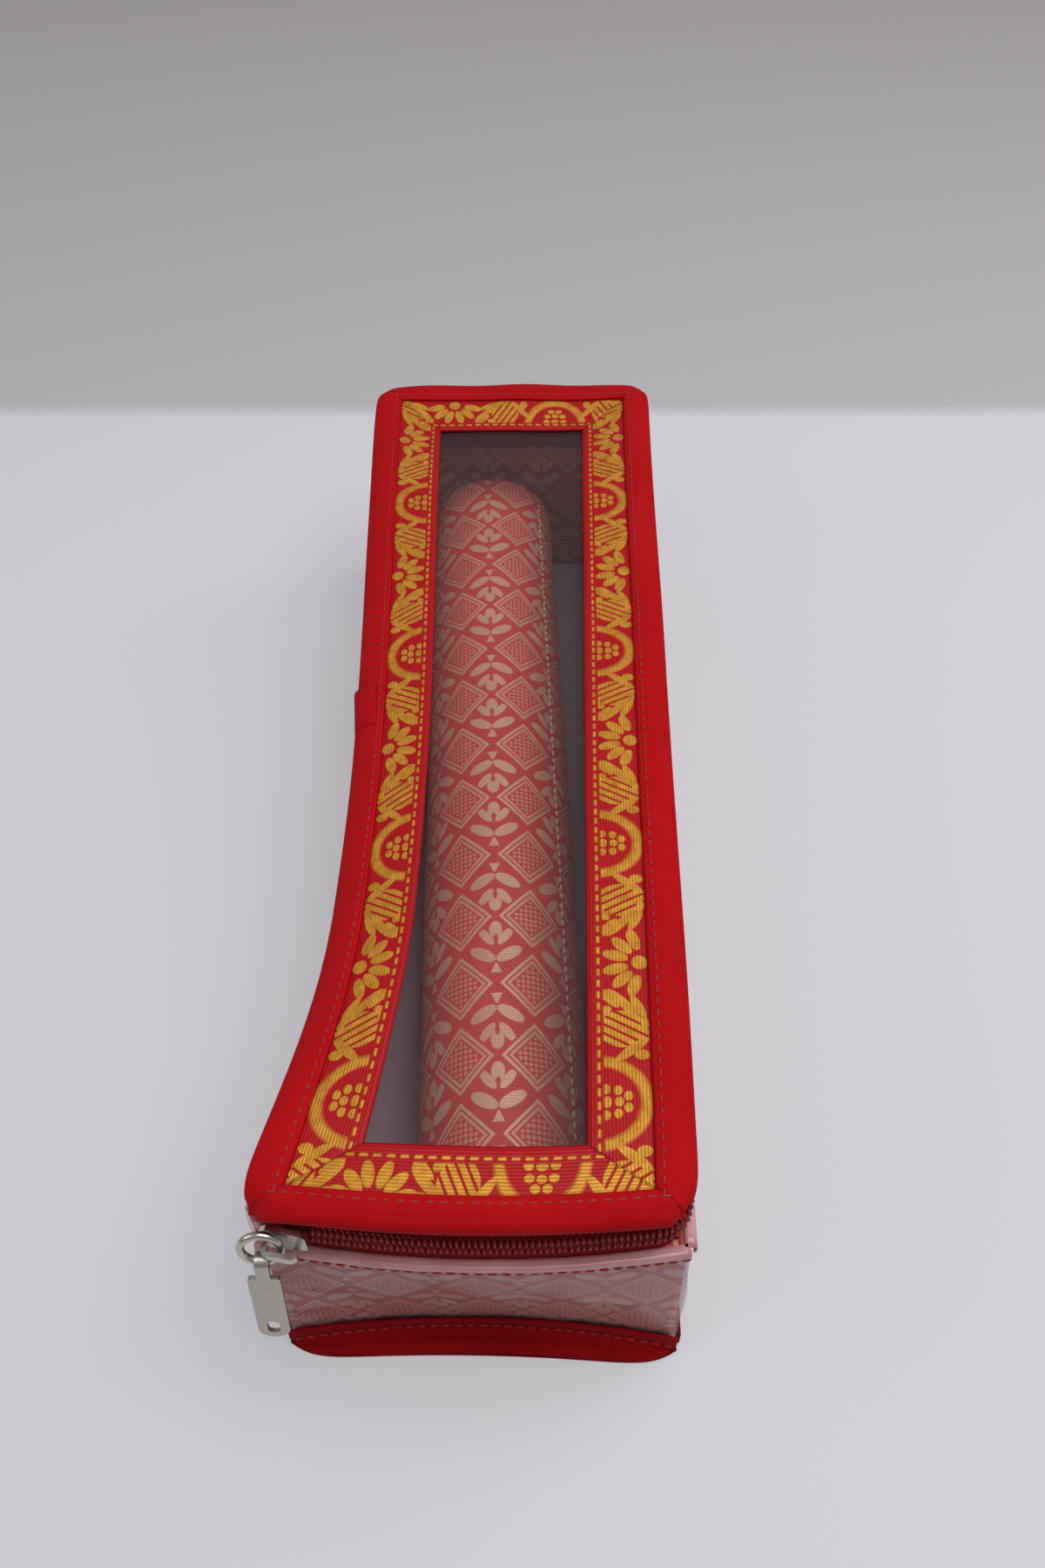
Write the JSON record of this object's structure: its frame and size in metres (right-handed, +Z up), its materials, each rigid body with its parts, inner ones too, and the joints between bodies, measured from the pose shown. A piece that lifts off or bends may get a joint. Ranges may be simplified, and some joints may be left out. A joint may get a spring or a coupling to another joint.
{
  "type": "brocade bangle box",
  "caption": "Long red brocade bangle box with a clear-windowed lid edged in gold lace, a three-sided zip with ring pull, and one padded brocade rod inside.",
  "frame": {"origin": "middle of the case's underside, on the surface it stands on", "axes": "+Y is the length, with the zip's closed end at -Y; +X is across, with the hinged side at -X; +Z is up, normal to the base"},
  "size_m": [0.0967, 0.3117, 0.0807],
  "materials": {
    "brocade": "woven red and silver brocade cloth",
    "board": "stiff card board",
    "lining": "plain white card",
    "film": "clear soft PVC film",
    "hem": "folded PVC film, whitish, stitched",
    "cotton": "plain red cotton tape, stitched",
    "zip_tape": "dark red woven zip tape",
    "coil": "dark red nylon coil",
    "lace": "woven gold and red lace trim",
    "nickel": "nickel-plated cast metal",
    "tube": "rolled cardboard tube"
  },
  "bodies": {
    "case": {"base_cover": "brocade", "base_board": "board", "base_lining": "lining", "wall_front": "brocade", "wall_right": "brocade", "wall_back": "brocade", "wall_left": "brocade", "film_front": "film", "film_right": "film", "film_back": "film", "film_left": "film", "base_binding_front": "cotton", "base_binding_right": "cotton", "base_binding_back": "cotton", "base_binding_left": "cotton", "top_hem_front": "hem", "top_hem_right": "hem", "top_hem_back": "hem", "zip_tape_lower_front": "zip_tape", "zip_tape_lower_right": "zip_tape", "zip_tape_lower_back": "zip_tape", "zip_coil_lower_front": "coil", "zip_coil_lower_right": "coil", "zip_coil_lower_back": "coil", "hinge_tape": "cotton"},
    "lid": {"window_film": "film", "lace_front": "lace", "lace_right": "lace", "lace_back": "lace", "lace_left": "lace", "lid_binding_front": "cotton", "lid_binding_right": "cotton", "lid_binding_back": "cotton", "lid_binding_left": "cotton", "binding_join": "cotton", "zip_tape_upper_front": "zip_tape", "zip_tape_upper_right": "zip_tape", "zip_tape_upper_back": "zip_tape", "zip_coil_upper_front": "coil", "zip_coil_upper_right": "coil", "zip_coil_upper_back": "coil"},
    "slider": {"slider_body": "nickel", "slider_bridge": "nickel"},
    "pull_link": {"pull_link": "nickel"},
    "pull": {"pull_tab": "nickel"},
    "rod": {"rod_tube": "tube", "rod_cover": "brocade", "rod_seam": "lace", "rod_cap_far": "brocade", "rod_cap_near": "brocade"}
  },
  "joints": [
    {"name": "lid_hinge", "type": "hinge", "parent": "case", "child": "lid", "pos_m": [-0.047, 0, 0.077], "axis": [0, -1, 0], "range_deg": [0, 110]},
    {"name": "slider_run", "type": "hinge", "parent": "case", "child": "slider", "pos_m": [0, 0.10651, 0.0661], "axis": [0, 0, 1], "range_deg": [0, 15.86]},
    {"name": "ring_swing", "type": "hinge", "parent": "slider", "child": "pull_link", "pos_m": [-0.03929, -0.15324, 0.0661], "axis": [0.0362, 0.2392, 0.9703], "range_deg": [0, 95]},
    {"name": "pull_swing", "type": "hinge", "parent": "pull_link", "child": "pull", "pos_m": [-0.04374, -0.1545, 0.06214], "axis": [-0.9973, -0.0532, 0.0503], "range_deg": [-3, 80]},
    {"name": "rod_lift", "type": "slide", "parent": "case", "child": "rod", "axis": [0, 0, 1], "range_m": [0, 0.027]}
  ]
}
